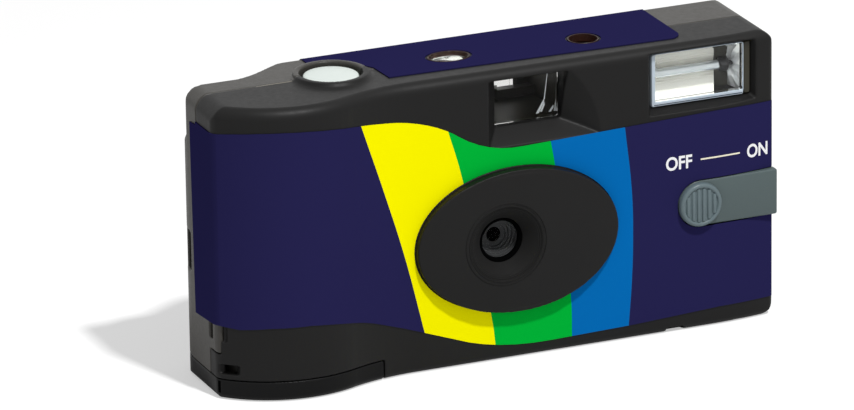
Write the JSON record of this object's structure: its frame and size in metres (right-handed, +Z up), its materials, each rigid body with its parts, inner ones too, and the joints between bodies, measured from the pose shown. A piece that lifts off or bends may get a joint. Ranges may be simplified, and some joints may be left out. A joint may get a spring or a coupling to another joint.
{
  "type": "disposable film camera",
  "caption": "Single-use film camera with hand grip, lens boss, see-through finder, built-in flash with a sliding switch, shutter button, thumb wheel and film door.",
  "frame": {"origin": "middle of the base, at the bottom of the whole object", "axes": "+X to the right as seen from the front, +Y to the back, +Z up; the lens looks along -Y"},
  "size_m": [0.1174, 0.0298, 0.0599],
  "materials": {
    "cover_black": "fine moulded texture",
    "cover_charcoal": "spark-eroded texture",
    "door_black": "polished",
    "label_print": "printed film, satin",
    "inner_black": "matte",
    "wheel_black": "ridged",
    "clear_lens": "polished",
    "reflector_white": "glossy",
    "contact_steel": "tinned sheet",
    "contact_brass": "sprung sheet",
    "board_brown": "resin paper laminate",
    "capacitor_sleeve": "shrink sleeve",
    "tape_yellow": "taped winding",
    "coil_copper": "lacquered wire",
    "lamp_orange": "clear bulb",
    "cell_gold": "printed can",
    "can_green": "lacquered",
    "cap_dark": "lacquered",
    "film_brown": "coated film",
    "button_white": "satin",
    "spring_steel": "drawn wire",
    "lever_grey": "moulded",
    "blade_black": "blackened",
    "switch_grey": "moulded",
    "gear_white": "moulded"
  },
  "bodies": {
    "camera_body": {"front_cover": "cover_black", "back_cover": "cover_charcoal", "front_label": "label_print", "top_label": "label_print", "chassis": "inner_black", "lens": "clear_lens", "lens_holder": "inner_black", "viewfinder_front_lens": "clear_lens", "viewfinder_rear_lens": "clear_lens", "flash_window": "clear_lens", "flash_reflector": "reflector_white", "flash_tube": "clear_lens", "flash_tube_caps": "contact_steel", "circuit_board": "board_brown", "flash_capacitor": "capacitor_sleeve", "flash_transformer": "tape_yellow", "trigger_coil": "coil_copper", "ready_lamp": "lamp_orange", "battery": "cell_gold", "battery_contacts": "contact_steel", "sync_contact": "contact_brass", "cassette_shell": "can_green", "cassette_end_caps": "cap_dark", "film_strip": "film_brown", "striker_spring": "spring_steel"},
    "button": {"shutter_button": "button_white", "button_spring": "spring_steel"},
    "release": {"release_lever": "lever_grey"},
    "striker": {"striker_lever": "lever_grey"},
    "blade": {"shutter_blade": "blade_black"},
    "switch": {"flash_switch": "switch_grey", "switch_contact": "contact_brass"},
    "winder": {"thumb_wheel": "wheel_black", "cassette_spool": "inner_black"},
    "film_sprocket": {"sprocket": "gear_white"},
    "counter": {"counter_dial": "gear_white"},
    "supply": {"supply_spool": "inner_black", "film_roll": "film_brown"},
    "door": {"film_door": "door_black"}
  },
  "joints": [
    {"name": "button_press", "type": "slide", "parent": "camera_body", "child": "button", "axis": [0, 0, -1], "range_m": [0, 0.0012], "stiffness_N_per_m": 1200, "springref_m": -0.0004, "deforming": ["button_spring"]},
    {"name": "release_tip", "type": "hinge", "parent": "camera_body", "child": "release", "pos_m": [-0.022, -0.00125, 0.051], "axis": [0, -1, 0], "range_deg": [0, 16]},
    {"name": "striker_kick", "type": "hinge", "parent": "camera_body", "child": "striker", "pos_m": [-0.0115, 0.00305, 0.0491], "axis": [0, 0, 1], "range_deg": [0, 30]},
    {"name": "blade_swing", "type": "hinge", "parent": "camera_body", "child": "blade", "pos_m": [-0.006, -0.00585, 0.0365], "axis": [0, 1, 0], "range_deg": [0, 24]},
    {"name": "switch_slide", "type": "slide", "parent": "camera_body", "child": "switch", "axis": [1, 0, 0], "range_m": [0, 0.006]},
    {"name": "wheel_turn", "type": "hinge", "parent": "camera_body", "child": "winder", "pos_m": [-0.0432, 0.00055, 0.051], "axis": [0, 0, 1], "continuous": true},
    {"name": "sprocket_turn", "type": "hinge", "parent": "camera_body", "child": "film_sprocket", "pos_m": [-0.0235, 0.0044, 0.039], "axis": [0, 0, 1], "continuous": true},
    {"name": "counter_turn", "type": "hinge", "parent": "camera_body", "child": "counter", "pos_m": [-0.0115, 0.00305, 0.055], "axis": [0, 0, 1], "continuous": true},
    {"name": "supply_turn", "type": "hinge", "parent": "camera_body", "child": "supply", "pos_m": [0.0481, 0.00415, 0.0248], "axis": [0, 0, 1], "continuous": true},
    {"name": "door_swing", "type": "hinge", "parent": "camera_body", "child": "door", "pos_m": [-0.042, 0.01355, 0.0021], "axis": [1, 0, 0], "range_deg": [0, 90]}
  ],
  "couplings": [
    {"joint": "release_tip", "follows": "button_press", "rad_per_m": 232.71},
    {"joint": "striker_kick", "follows": "button_press", "rad_per_m": 436.33},
    {"joint": "blade_swing", "follows": "button_press", "rad_per_m": 349.06},
    {"joint": "sprocket_turn", "follows": "wheel_turn", "ratio": 1},
    {"joint": "counter_turn", "follows": "wheel_turn", "ratio": -0.033333},
    {"joint": "supply_turn", "follows": "wheel_turn", "ratio": 0.864}
  ]
}
